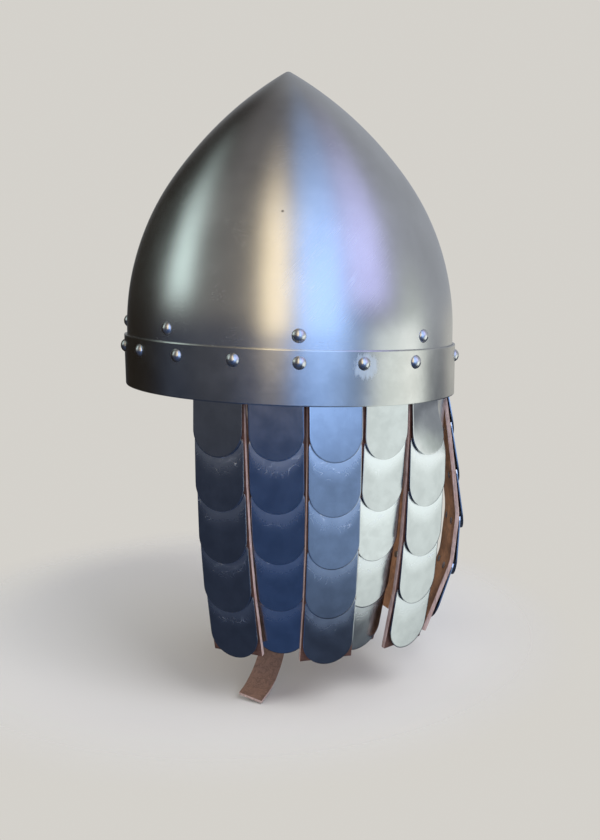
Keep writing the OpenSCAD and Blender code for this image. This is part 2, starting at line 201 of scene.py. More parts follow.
class Nodes:
    """A node tree that nodes are added to by type, settings and inputs."""

    def __init__(self, tree):
        self.tree = tree
        tree.nodes.clear()

    def node(self, kind, settings=None, inputs=None, output=0):
        """Adds a node and gives the value of one of its outputs, if it has any."""
        made = self.tree.nodes.new(kind)
        for name, value in (settings or {}).items():
            setattr(made, name, value)
        for key, value in (inputs or {}).items():
            if isinstance(value, Val):
                self.tree.links.new(value.socket, made.inputs[key])
            else:
                made.inputs[key].default_value = value
        return Val(self, made.outputs[output]) if made.outputs else None

    def mix(self, factor, first, second):
        """A blend of two colours."""
        inputs = {0: factor}
        for key, colour in ((6, first), (7, second)):
            inputs[key] = colour if isinstance(colour, Val) else (*colour, 1)
        return self.node("ShaderNodeMix", {"data_type": "RGBA"}, inputs, output=2)

    def noise(self, place, scale, detail=3, roughness=0.5, distortion=0):
        """Noise from 0 to 1, about 0.5."""
        return self.node("ShaderNodeTexNoise", {"noise_dimensions": "3D"},
                         {"Vector": place, "Scale": scale, "Detail": detail, "Roughness": roughness,
                          "Distortion": distortion})

    def stretch(self, place, factors):
        """A place, scaled along its axes."""
        return self.node("ShaderNodeMapping", None, {"Vector": place, "Scale": factors})

    def xyz(self, place):
        """A place's three values."""
        parts = self.node("ShaderNodeSeparateXYZ", None, {0: place}).socket.node
        return [Val(self, part) for part in parts.outputs]

    def object_place(self):
        """The place in the object's own space, in metres."""
        return self.node("ShaderNodeTexCoord", output="Object")

    def uv_place(self):
        """The place on the unwrapped sheet."""
        return self.node("ShaderNodeTexCoord", output="UV")

    def near(self, place, spot, reach):
        """1 at a spot, easing to 0 at its reach."""
        offset = self.node("ShaderNodeVectorMath", {"operation": "DISTANCE"}, {0: place, 1: spot}, output=1)
        return 1 - offset.rise(0.3 * reach, reach)


class Finish(Nodes):
    """A material with one Principled shader."""

    def __init__(self, name):
        self.material = bpy.data.materials.new(name)
        self.material.use_nodes = True
        super().__init__(self.material.node_tree)

    def close(self, colour, roughness, metallic=0.0, height=None, depth=0.0, **others):
        """Adds the shader and its bump, and gives the finished material."""
        inputs = {"Base Color": colour, "Roughness": roughness, "Metallic": metallic, **others}
        if height is not None:
            inputs["Normal"] = self.node("ShaderNodeBump", None, {"Height": height, "Distance": depth})
        shader = self.node("ShaderNodeBsdfPrincipled", None, inputs)
        self.node("ShaderNodeOutputMaterial", None, {"Surface": shader})
        return self.material


def tinted(colour, factor):
    """A lighter or darker tone of a colour."""
    return tuple(min(1.0, c * factor) for c in colour)


def skull_steel(finish):
    """Satin steel, brushed round the skull, with soft clouds, lighter vertical streaks painted as soft
    reflections, scratches and one dark speck.
    """
    f = Finish("skull_steel")
    place = f.object_place()
    rings = f.noise(f.stretch(place, (40, 40, 2600)), 1, detail=4, roughness=0.7)
    cloud = f.noise(place, 26, detail=5, roughness=0.6)
    painted_reflection_streaks = f.noise(f.stretch(place, (1, 1, 0.35)), 30, detail=2)
    hair = (f.noise(f.stretch(place, (120, 120, 1400)), 1, detail=1) - 0.5).absolute()
    scratch = (1 - hair.rise(0.0, 0.008)) * f.noise(place, 18, detail=2).rise(0.52, 0.7) * 0.5
    slant = f.node("ShaderNodeMapping", {"vector_type": "TEXTURE"},
                   {"Vector": place, "Rotation": (math.radians(49), 0, 0),
                    "Scale": (1 / 20, 1 / 20, 1 / 1100)})
    hatch = 1 - (f.noise(slant, 1, detail=0) - 0.5).absolute().rise(0.004, 0.03)
    hatch = hatch * f.near(place, (0.1034, 0.0239, 0.078), 0.05)
    scratch = scratch.math("MAXIMUM", scratch * 0.6, hatch * 0.45)
    tone = f.mix(cloud.rise(0.3, 0.75), tinted(finish.steel, 0.93), tinted(finish.steel, 1.06))
    # Painted reflection: lighter vertical streaks in the colour stand in for soft reflected bands
    tone = f.mix(painted_reflection_streaks.rise(0.35, 0.7) * 0.35, tone, tinted(finish.steel, 1.12))
    tone = f.mix(scratch * 0.5, tone, tinted(finish.steel, 1.35))
    speck = f.near(place, (0.0926, -0.0081, 0.111), 0.0012)
    tone = f.mix(speck * 0.7, tone, (0.07, 0.06, 0.05))
    rough = 0.2 + cloud * 0.07 + rings * 0.04 + scratch * 0.12
    height = rings * 0.25 + cloud * 0.4 - scratch * 0.6
    return f.close(tone, rough, 1.0, height, 0.00002, Anisotropic=0.45)


def band_steel(finish):
    """Duller satin steel, rubbed bright round one rivet."""
    f = Finish("band_steel")
    place = f.object_place()
    rings = f.noise(f.stretch(place, (60, 60, 3200)), 1, detail=4, roughness=0.7)
    cloud = f.noise(place, 45, detail=5, roughness=0.6)
    smear = f.noise(f.stretch(place, (1, 1, 0.28)), 480, detail=4, roughness=0.65)
    rubbed = f.near(place, (0.1043, 0.0390, 0.0222), 0.0118) + smear * 1.5 - 0.78
    rubbed = rubbed.rise(0.3, 0.85) * (0.45 + smear * 0.7)
    tone = f.mix(cloud.rise(0.3, 0.7), tinted(finish.band, 0.9), tinted(finish.band, 1.1))
    tone = f.mix(rubbed * 0.55, tone, (0.88, 0.92, 0.92))
    rough = 0.19 + cloud * 0.07 + rings * 0.05 + rubbed * 0.2
    return f.close(tone, rough, 1.0, rings * 0.25 + cloud * 0.3, 0.00002, Anisotropic=0.4)


def scale_steel(finish):
    """Satin steel with a lengthwise grain, scratched in curls below the scale above, where it is also hazed
    and painted lighter as a highlight.
    """
    sizes = bpy.context.scene.helmet_sizes
    f = Finish("scale_steel")
    place = f.object_place()
    across, along, _ = f.xyz(f.uv_place())
    tone_shift = f.node("ShaderNodeAttribute", {"attribute_name": "tone"}, output="Fac")
    grain = f.noise(f.stretch(place, (2400, 2400, 50)), 1, detail=3, roughness=0.6)
    cloud = f.noise(place, 90, detail=4, roughness=0.6)
    side = (across - 0.5) * 2
    half = sizes.scale_w / 2
    round_end = half * (1 - side.math("SQRT", 1 - side * side))
    below = along * sizes.scale_l - (sizes.scale_l - sizes.row_pitch) + round_end
    curl = (f.noise(place, 62, detail=1, roughness=0.4, distortion=3.2) - 0.5).absolute()
    thread = 1 - curl.rise(0.001, 0.009)
    reach = below.rise(-1 * MM, 0.5 * MM) * (1 - below.rise(0, 15 * MM))
    worn = thread * reach.rise(0.1, 0.5) * f.noise(place, 60, detail=1).rise(0.44, 0.54)
    # Painted highlight: the colour just below the scale above is made lighter; the same mask also makes that
    # part duller, as a real haze, in the roughness
    haze_and_painted_highlight = reach * (0.6 + cloud * 0.35)
    tone = f.mix(cloud.rise(0.3, 0.7), tinted(finish.scale, 0.9), tinted(finish.scale, 1.08))
    tone = f.mix(tone_shift, tone, tinted(finish.scale, 0.72))
    tone = f.mix(haze_and_painted_highlight, tone, tinted(finish.scale, 1.6))
    tone = f.mix(worn, tone, (0.95, 0.97, 1.0))
    rim = (across - 0.5).absolute().rise(0.475, 0.498)
    tone = f.mix(rim * 0.5, tone, tinted(finish.scale, 1.3))
    rough = 0.13 + cloud * 0.08 + grain * 0.05 + haze_and_painted_highlight * 0.16 + worn * 0.3
    return f.close(tone, rough, 1.0, grain * 0.5 + cloud * 0.3, 0.00002)


def rivet_steel(finish):
    """Polished steel with small dents."""
    f = Finish("rivet_steel")
    place = f.object_place()
    cloud = f.noise(place, 420, detail=3)
    tone = f.mix(cloud.rise(0.35, 0.7), tinted(finish.rivet, 0.85), tinted(finish.rivet, 1.1))
    return f.close(tone, 0.2 + cloud * 0.18, 1.0, cloud, 0.00006)


def leather_face(name, colour, grain=1.0, worn=0.5):
    """Leather with pores, creases and rubbed lighter patches."""
    f = Finish(name)
    place = f.object_place()
    cloud = f.noise(place, 38, detail=5, roughness=0.65)
    pores = f.node("ShaderNodeTexVoronoi", {"feature": "F1"},
                   {"Vector": place, "Scale": 900, "Randomness": 1.0}, output="Distance")
    crease = (f.noise(f.stretch(place, (1, 1, 2.2)), 120, detail=4, distortion=0.8) - 0.5).absolute()
    crease = 1 - crease.rise(0.0, 0.05)
    fibre = f.noise(f.stretch(place, (1, 1, 0.3)), 700, detail=3, roughness=0.7)
    tone = f.mix(cloud.rise(0.3, 0.72), tinted(colour, 0.62), tinted(colour, 1.35))
    tone = f.mix(fibre.rise(0.5, 0.72) * worn, tone, tinted(colour, 1.9))
    tone = f.mix(crease * 0.4, tone, tinted(colour, 0.4))
    rough = 0.52 + cloud * 0.2 + fibre * 0.12
    height = pores * (-0.5 * grain) + fibre * 0.5 + cloud * 0.6 - crease * 0.4
    return f.close(tone, rough, 0.0, height, 0.00022)


def leather_edge(finish):
    """The raw cut edge: pale fibres in layers."""
    f = Finish("leather_edge")
    place = f.object_place()
    layers = f.noise(f.stretch(place, (1, 1, 0.12)), 1500, detail=4, roughness=0.7)
    cloud = f.noise(place, 70, detail=4, roughness=0.6)
    fuzz = f.noise(place, 2600, detail=3, roughness=0.7)
    tone = f.mix(layers.rise(0.3, 0.7), tinted(finish.cut_edge, 0.62), tinted(finish.cut_edge, 1.3))
    tone = f.mix(cloud.rise(0.45, 0.7) * 0.4, tone, tinted(finish.hide, 2.8))
    tone = f.mix(fuzz.rise(0.55, 0.75) * 0.4, tone, tinted(finish.cut_edge, 1.6))
    return f.close(tone, 0.85, 0.0, layers + fuzz * 0.5, 0.0003)


FINISHES = {}


def finish_of(name):
    """The material of that name, made when it is first asked for."""
    finish = bpy.context.scene.helmet_finish
    makers = {
        "skull_steel": lambda: skull_steel(finish),
        "band_steel": lambda: band_steel(finish),
        "scale_steel": lambda: scale_steel(finish),
        "rivet_steel": lambda: rivet_steel(finish),
        "hide": lambda: leather_face("hide", finish.hide),
        "flesh": lambda: leather_face("flesh", finish.flesh, grain=0.3, worn=0.6),
        "leather_edge": lambda: leather_edge(finish),
        "strap_hide": lambda: leather_face("strap_hide", finish.strap, worn=0.35),
        "lining_hide": lambda: leather_face("lining_hide", finish.lining),
    }
    if name not in FINISHES:
        FINISHES[name] = makers[name]()
    return FINISHES[name]


# Modelling

def let_go():
    """Leaves edit mode, with nothing selected."""
    if bpy.context.object and bpy.context.object.mode != "OBJECT":
        bpy.ops.object.mode_set(mode="OBJECT")
    bpy.ops.object.select_all(action="DESELECT")


def only(piece):
    """Makes a piece the one that is selected and active."""
    let_go()
    piece.select_set(True)
    bpy.context.view_layer.objects.active = piece


def edit(piece):
    """Opens a piece for editing, all of it selected."""
    only(piece)
    bpy.ops.object.mode_set(mode="EDIT")
    bpy.ops.mesh.select_all(action="SELECT")


def chain(name, points):
    """A new mesh with an edge chain through the points, each extruded from the last, left in edit mode."""
    let_go()
    bpy.ops.mesh.primitive_plane_add(size=MM, location=(0, 0, 0))
    piece = bpy.context.object
    piece.name = piece.data.name = name
    bpy.ops.object.mode_set(mode="EDIT")
    bpy.ops.mesh.select_all(action="SELECT")
    bpy.ops.mesh.merge(type="CENTER")
    bpy.ops.transform.translate(value=Vector(points[0]))
    for start, end in zip(points, points[1:]):
        step = Vector(end) - Vector(start)
        bpy.ops.mesh.extrude_region_move(TRANSFORM_OT_translate={"value": step})
    return piece


def lathe(name, points, steps=48, angle=2 * math.pi):
    """A chain spun about the Z axis, with its seam and pole closed."""
    piece = chain(name, points)
    bpy.ops.mesh.select_all(action="SELECT")
    bpy.ops.mesh.spin(steps=steps, angle=angle, center=(0, 0, 0), axis=(0, 0, 1))
    bpy.ops.mesh.select_all(action="SELECT")
    bpy.ops.mesh.remove_doubles(threshold=0.01 * MM)
    bpy.ops.mesh.normals_make_consistent(inside=False)
    bpy.ops.object.mode_set(mode="OBJECT")
    return piece


def modify(piece, kind, **settings):
    """Adds a modifier and applies it."""
    only(piece)
    modifier = piece.modifiers.new(kind.lower(), kind)
    for name, value in settings.items():
        setattr(modifier, name, value)
    bpy.ops.object.modifier_apply(modifier=modifier.name)


def dent(piece, strength, size):
    """Makes a sheet a little uneven, as hand work is."""
    texture = bpy.data.textures.new(piece.name + "_dents", "CLOUDS")
    texture.noise_scale = size
    modify(piece, "DISPLACE", texture=texture, strength=strength, mid_level=0.5, texture_coords="LOCAL")


def sheet_wall(piece, thickness, offset, edge=0.3 * MM, back_slot=0, rim_slot=0):
    """Gives a sheet its thickness and breaks its edges."""
    modify(piece, "SOLIDIFY", thickness=thickness, offset=offset, use_even_offset=True,
           material_offset=back_slot, material_offset_rim=rim_slot)
    modify(piece, "BEVEL", width=edge, segments=2, limit_method="ANGLE", angle_limit=math.radians(40))


def smooth(piece, angle=35):
    """Shades a piece smooth, but for edges sharper than the angle in degrees."""
    only(piece)
    bpy.ops.object.shade_smooth_by_angle(angle=math.radians(angle))


def dress(piece, names):
    """Gives a piece its finishes, in the order of its material slots."""
    piece.data.materials.clear()
    for name in names:
        piece.data.materials.append(finish_of(name))


def settle(piece, body, slot, *nodes):
    """Puts a finished piece on its body in place of its nodes."""
    only(piece)
    bpy.ops.object.transform_apply(location=True, rotation=True, scale=True)
    piece.select_set(False)
    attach(piece, body)
    if nodes:
        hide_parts(*nodes)


def joined(pieces, name):
    """The pieces, with their places applied, as one object."""
    only(pieces[0])
    for piece in pieces:
        piece.select_set(True)
    bpy.ops.object.transform_apply(location=True, rotation=True, scale=True)
    if len(pieces) > 1:
        bpy.ops.object.join()
    piece = bpy.context.object
    piece.name = piece.data.name = name
    return piece


def copies(template, places, name):
    """One object made of a copy of the template at each place."""
    made = []
    for place in places:
        copy = template.copy()
        copy.data = template.data.copy()
        bpy.context.scene.collection.objects.link(copy)
        copy.matrix_world = place
        made.append(copy)
    return joined(made, name)


def discard(piece):
    """Removes a template or a cutter with its mesh."""
    mesh = piece.data
    bpy.data.objects.remove(piece)
    bpy.data.meshes.remove(mesh)


def dress_node(name, finish_name):
    """Gives a CAD node that stays its finish."""
    node = frame["nodes"][name]
    for material_slot in node.material_slots:
        material_slot.material = finish_of(finish_name)


def arc(centre, radius, first, last, count):
    """Points of an arc in the XZ plane, its angles in degrees from +X."""
    turns = [math.radians(first + (last - first) * i / count) for i in range(count + 1)]
    return [Vector((centre[0] + radius * math.cos(a), 0, centre[1] + radius * math.sin(a))) for a in turns]


def at_wall(angle, radius, height):
    """A place on the helmet's wall, whose -Y points outwards and whose height counts from the sloping rim."""
    turn = Matrix.Rotation(math.radians(angle), 4, "Z")
    sizes = bpy.context.scene.helmet_sizes
    rise = math.tan(RIM_SLOPE) * sizes.skull_r * math.cos(math.radians(angle))
    return turn @ Matrix.Translation((0, -radius, height + rise))


def hinge_place(body):
    """The place of a hanging body's hinge, whose -Y points outwards."""
    joint = JOINTS[body]
    angle = math.atan2(-joint["axis"][1], -joint["axis"][0])
    return Matrix.Translation(joint["pos_m"]) @ Matrix.Rotation(angle, 4, "Z")


def above_rim(height):
    """A point and the normal of the rim plane, raised by a height."""
    normal = Vector((0, math.sin(RIM_SLOPE), math.cos(RIM_SLOPE)))
    return normal * height, normal


def tilt_rim(piece, fade=None):
    """Slopes the rings of a lathed wall with the rim, all alike or fading out up to a height."""
    for vertex in piece.data.vertices:
        share = 1 if fade is None else max(0.0, 1 - vertex.co.z / fade)
        vertex.co.z -= vertex.co.y * math.tan(RIM_SLOPE) * share


# Hanging pieces

def smoothstep(x, low, high):
    """0 below low, 1 above high, and eased between them."""
    t = min(1.0, max(0.0, (x - low) / (high - low)))
    return t * t * (3 - 2 * t)


def strap_turn(lean, slant):
    """How a stretch is turned that leans inwards and slants sideways, in degrees."""
    return Matrix.Rotation(math.radians(lean), 3, "X") @ Matrix.Rotation(math.radians(slant), 3, "Y")


def stretch_places(path):
    """The frames at the upper ends of a path's stretches, each given by its length, lean and slant."""
    here = Vector((0, 0, 0))
    places = []
    for length, lean, slant in path:
        turn = strap_turn(lean, slant)
        places.append(Matrix.Translation(here) @ turn.to_4x4())
        here = here + length * (turn @ Vector((0, 0, -1)))
    return places


def strap_line(path, step, ease):
    """Points and sideways directions down a path whose bends are eased over a length on both sides."""
    ends = [sum(stretch[0] for stretch in path[:k]) for k in range(len(path) + 1)]

    def turn_at(s):
        lean, slant = path[0][1:]
        for end, before, after in zip(ends[1:], path, path[1:]):
            share = smoothstep(s, end - ease, end + ease)
            lean += (after[1] - before[1]) * share
            slant += (after[2] - before[2]) * share
        return strap_turn(lean, slant)

    count = round(ends[-1] / step)
    step = ends[-1] / count
    here = Vector((0, 0, 0))
    line = []
    for n in range(count + 1):
        line.append((here.copy(), turn_at(n * step) @ Vector((1, 0, 0))))
        here += step * (turn_at((n + 0.5) * step) @ Vector((0, 0, -1)))
    return line


def is_tucked(i):
    """Whether a strip hangs inside its neighbours."""
    return (i - BACK_STRIP) % 2 == 1


def strip_path(i):
    """A strip's stretches from its bend down, one to a row of scales."""
    sizes = bpy.context.scene.helmet_sizes
    last = SCALE_SET + sizes.scale_l - END_MARGIN + (BACK_TAIL if i == BACK_STRIP else 0)
    lengths = [LEAD - SCALE_SET, sizes.row_pitch - FIRST_CUT] + [sizes.row_pitch] * 3 + [last]
    rows = BACK_LEANS if i == BACK_STRIP else ROW_LEANS
    extra = TUCK_LEAN if is_tucked(i) else 0
    return [(length, lean + extra, 0) for length, lean in zip(lengths, (rows[0], *rows))]


def row_places(i):
    """The frames at the upper ends of a strip's rows."""
    return stretch_places(strip_path(i))[1:]


def ribbon(name, left, right, cuts):
    """A sheet between two edge chains."""
    piece = joined([chain(name, left), chain(name + "_edge", right)], name)
    edit(piece)
    bpy.ops.mesh.bridge_edge_loops(number_cuts=cuts, interpolation="LINEAR")
    bpy.ops.object.mode_set(mode="OBJECT")
    return piece


def face_outwards(piece):
    """Turns a sheet's faces towards -Y."""
    mean = sum((p.normal * p.area for p in piece.data.polygons), Vector((0, 0, 0)))
    if mean.y > 0:
        edit(piece)
        bpy.ops.mesh.flip_normals()
        bpy.ops.object.mode_set(mode="OBJECT")


def strap_sheet(name, line, width, cuts):
    """A sheet down a strap's line, its faces outwards."""
    half = width / 2
    left = [point - half * side for point, side in line]
    right = [point + half * side for point, side in line]
    piece = ribbon(name, left, right, cuts)
    face_outwards(piece)
    return piece


def strip_sheet(i):
    """The leather of one strip in its own place, hung from the bend."""
    sizes = bpy.context.scene.helmet_sizes
    piece = strap_sheet("strip_sheet", strap_line(strip_path(i), 2.6 * MM, 6 * MM), sizes.leather_w, 7)
    dress(piece, ["hide", "flesh", "leather_edge"])
    sheet_wall(piece, sizes.leather_t, 0, 0.5 * MM, back_slot=1, rim_slot=2)
    dent(piece, 0.3 * MM, 0.007)
    return piece


def hang(piece, i):
    """Warps a piece of a strip about one of its edges, as worn leather does, and hangs it."""
    side, degrees = WARPS.get(i, (1, 0))
    pivot = side * bpy.context.scene.helmet_sizes.leather_w / 2
    for vertex in piece.data.vertices:
        turn = math.radians(degrees) * smoothstep(-vertex.co.z, WARP_FROM, WARP_FULL)
        x, y = vertex.co.x - pivot, vertex.co.y
        vertex.co.x = x * math.cos(turn) - y * math.sin(turn) + pivot
        vertex.co.y = x * math.sin(turn) + y * math.cos(turn)
    piece.matrix_world = hinge_place(f"strip_{i}")


def scale_plate(row, shift):
    """One scale, its upper edge at z = 0 and its inner face at y = 0, with its tone."""
    sizes = bpy.context.scene.helmet_sizes
    half = sizes.scale_w / 2
    length = sizes.scale_l - (FIRST_CUT if row == 1 else 0)
    straight = length - half
    radius_points = [Vector((half * share, 0, 0)) for share in (0, 0.25, 0.5, 0.75, 0.95, 1)]
    piece = chain("scale_plate", radius_points)
    bpy.ops.mesh.select_all(action="SELECT")
    bpy.ops.mesh.spin(steps=28, angle=math.pi, center=(0, 0, 0), axis=(0, 1, 0))
    bpy.ops.mesh.select_all(action="SELECT")
    bpy.ops.mesh.remove_doubles(threshold=0.01 * MM)
    bpy.ops.object.mode_set(mode="OBJECT")
    low = min(v.co.z for v in piece.data.vertices)
    if low > -half / 2:
        for v in piece.data.vertices:
            v.co.z = -v.co.z
    bm = bmesh.new()
    bm.from_mesh(piece.data)
    steps = 10
    edges = [e for e in bm.edges if all(abs(v.co.z) < 0.01 * MM for v in e.verts)]
    for _ in range(steps):
        made = bmesh.ops.extrude_edge_only(bm, edges=edges)["geom"]
        edges = [g for g in made if isinstance(g, bmesh.types.BMEdge)]
        verts = {v for e in edges for v in e.verts}
        bmesh.ops.translate(bm, verts=list(verts), vec=(0, 0, straight / steps))
    top = max(v.co.z for v in bm.verts)
    corners = [v for v in bm.verts if abs(v.co.z - top) < 0.01 * MM and abs(abs(v.co.x) - half) < 0.01 * MM]
    bmesh.ops.bevel(bm, geom=corners, offset=2.5 * MM, segments=1, affect="VERTICES")
    for v in bm.verts:
        v.co.z -= straight
        across = v.co.x / half
        along = 1 + 2 * v.co.z / length
        v.co.y = -SCALE_CROWN * (1 - across * across) - SCALE_BOW * (1 - along * along)
    layer = bm.loops.layers.uv.verify()
    for face in bm.faces:
        for loop in face.loops:
            down = -loop.vert.co.z / sizes.scale_l + (1 if row == 1 else 0)
            loop[layer].uv = (0.5 + loop.vert.co.x / sizes.scale_w, down)
    bm.to_mesh(piece.data)
    bm.free()
    face_outwards(piece)
    modify(piece, "SOLIDIFY", thickness=sizes.scale_t, offset=1, use_even_offset=True)
    modify(piece, "BEVEL", width=0.22 * MM, segments=2, limit_method="ANGLE", angle_limit=math.radians(50))
    tone = piece.data.attributes.new("tone", "FLOAT", "POINT")
    tone.data.foreach_set("value", [shift] * len(piece.data.vertices))
    return piece


def pin_template():
    """A flat scale rivet through the leather, its head up and z = 0 in the leather's middle."""
    sizes = bpy.context.scene.helmet_sizes
    inner = -sizes.leather_t / 2 - SEAT
    outer = -inner + SEAT + sizes.scale_t + (PIN_DROP + PIN_R) * math.sin(SCALE_LIFT)
    rim, shank = 0.8 * PIN_R, 0.52 * PIN_R
    section = [(0, inner - 0.5 * MM), (rim, inner - 0.5 * MM), (PIN_R, inner - 0.3 * MM), (PIN_R, inner),
               (shank, inner), (shank, outer), (PIN_R, outer), (PIN_R, outer + 0.25 * MM),
               (rim, outer + 0.45 * MM), (0, outer + 0.5 * MM)]
    pin = lathe("pin", [Vector((x, 0, z)) for x, z in section], steps=16)
    smooth(pin, 40)
    dress(pin, ["rivet_steel"])
    return pin


def scale_places(i, rng):
    """Where a strip's scales lie, in the strip's own place."""
    sizes = bpy.context.scene.helmet_sizes
    places = []
    for top in row_places(i):
        seat = Matrix.Translation((rng.uniform(-0.25, 0.25) * MM, -sizes.leather_t / 2 - SEAT, -SCALE_SET))
        tilt = Matrix.Rotation(math.radians(rng.uniform(-0.5, 0.5)), 4, "Y")
        places.append(top @ seat @ Matrix.Rotation(-SCALE_LIFT, 4, "X") @ tilt)
    return places


# Operators

class HELMET_OT_skull(bpy.types.Operator):
    """Raise the pointed skull from one sheet of steel."""
    bl_idname = "helmet.skull"
    bl_label = "Skull"

    def execute(self, context):
        sizes = context.scene.helmet_sizes
        flank_r, flank_turn, crown_r, tip_r = 168 * MM, 36.4, 254 * MM, 4 * MM
        shoulder = 38.3 * MM
        flank = (sizes.skull_r - flank_r, shoulder)
        joint = arc(flank, flank_r, flank_turn, flank_turn, 1)[0]
        turn = math.radians(flank_turn)
        crown = (joint.x - crown_r * math.cos(turn), joint.z - crown_r * math.sin(turn))
        tip = (0, crown[1] + math.sqrt((crown_r - tip_r) ** 2 - crown[0] ** 2))
        crown_end = math.degrees(math.atan2(tip[1] - crown[1], -crown[0]))
        wall = [Vector((sizes.skull_r, 0, z * MM)) for z in (0, 6, 12, 18, 24, 30)]
        profile = wall + arc(flank, flank_r, 0, flank_turn, 26)
        profile += arc(crown, crown_r, flank_turn, crown_end, 22)[1:] + arc(tip, tip_r, crown_end, 90, 5)[1:]
        piece = lathe("skull_shell", profile, steps=144)
        tilt_rim(piece, 36 * MM)
        dent(piece, 0.3 * MM, 0.06)
        modify(piece, "SOLIDIFY", thickness=sizes.skull_t - 0.1 * MM, offset=-1, use_even_offset=True)
        smooth(piece)
        dress(piece, ["skull_steel"])
        settle(piece, "shell", "steel", "skull")
        return {"FINISHED"}


class HELMET_OT_band(bpy.types.Operator):
    """Bend the brow band round the rim."""
    bl_idname = "helmet.band"
    bl_label = "Brow band"

    def execute(self, context):
        sizes = context.scene.helmet_sizes
        inner = sizes.skull_r + SEAT
        lip = 0.8 * MM
        heights = [0, lip] + [sizes.band_h * n / 8 for n in range(1, 8)] + [sizes.band_h - lip, sizes.band_h]
        profile = [Vector((inner, 0, z)) for z in heights]
        piece = lathe("brow_band_ring", profile, steps=192)
        tilt_rim(piece)
        dent(piece, 0.25 * MM, 0.05)
        sheet_wall(piece, sizes.band_t, 1, 0.35 * MM)
        smooth(piece)
        dress(piece, ["band_steel"])
        settle(piece, "shell", "band_steel", "brow_band")
        return {"FINISHED"}


def rivet_template(grip):
    """A domed rivet, its head from z = 0 up and its clenched end so far below."""
    ball = (HEAD_R ** 2 + HEAD_H ** 2) / (2 * HEAD_H)
    edge = math.degrees(math.asin(HEAD_R / ball))
    dome = arc((0, HEAD_H - ball), ball, 90, 90 - edge, 9)
    foot = [Vector((HEAD_R, 0, -0.15 * MM)), Vector((0, 0, -0.15 * MM))]
    head = lathe("rivet_head", dome + foot, steps=28)
    end = [(0, 0), (2.4, 0), (2.9, -0.2), (3, -0.6), (2.6, -1), (0, -1.15)]
    clench = lathe("rivet_clench", [Vector((x * MM, 0, z * MM - grip)) for x, z in end], steps=20)
    rivet = joined([head, clench], "rivet")
    smooth(rivet, 50)
    dress(rivet, ["rivet_steel"])
    return rivet


class HELMET_OT_rivets(bpy.types.Operator):
    """Set the domed rivets of the brow band and of the liner."""
    bl_idname = "helmet.rivets"
    bl_label = "Rivets"

    def execute(self, context):
        sizes = context.scene.helmet_sizes
        rng = random.Random(11)
        band_r = sizes.skull_r + SEAT + sizes.band_t
        band_grip = SEAT + sizes.band_t + sizes.skull_t + sizes.leather_t + 1 * MM
        liner_grip = sizes.skull_t + 2 * sizes.strap_t + 1.4 * MM
        rows = (("band_rivet", BAND_RIVETS, band_r, BAND_RIVET_Z, band_grip),
                ("liner_rivet", LINER_RIVETS, sizes.skull_r, LINER_RIVET_Z, liner_grip))
        for name, angles, radius, height, grip in rows:
            template = rivet_template(grip)
            places = []
            for angle in angles:
                tilt = Matrix.Rotation(math.radians(rng.uniform(-3, 3)), 4, "X")
                size = Matrix.Scale(rng.uniform(0.96, 1.03), 4)
                lift = Matrix.Rotation(math.pi / 2, 4, "X")
                places.append(at_wall(angle, radius, height) @ lift @ tilt @ size)
            piece = copies(template, places, name + "_heads")
            discard(template)
            settle(piece, "shell", "rivet_steel", name + "s")
        return {"FINISHED"}


class HELMET_OT_skirt(bpy.types.Operator):
    """Form the fixed leather that the strips hang from."""
    bl_idname = "helmet.skirt"
    bl_label = "Skirt ring"

    def execute(self, context):
        sizes = context.scene.helmet_sizes
        section = [(105.9, 28.8), (105.9, 24), (105.6, 21), (104.2, 17), (102.9, 14), (102.5, 12.2)]
        turn = Matrix.Rotation(math.radians(SKIRT_FROM - 90), 4, "Z")
        points = [turn @ Vector((r * MM, 0, z * MM)) for r, z in section]
        piece = lathe("skirt_ring_leather", points, steps=120, angle=math.radians(360 - 2 * SKIRT_FROM))
        only(piece)
        piece.rotation_euler = (-RIM_SLOPE, 0, 0)
        bpy.ops.object.transform_apply(rotation=True)
        dress(piece, ["hide", "flesh", "leather_edge"])
        sheet_wall(piece, sizes.leather_t, 0, 0.35 * MM, back_slot=1, rim_slot=2)
        smooth(piece)
        settle(piece, "shell", "skirt_leather", "skirt_ring")
        return {"FINISHED"}


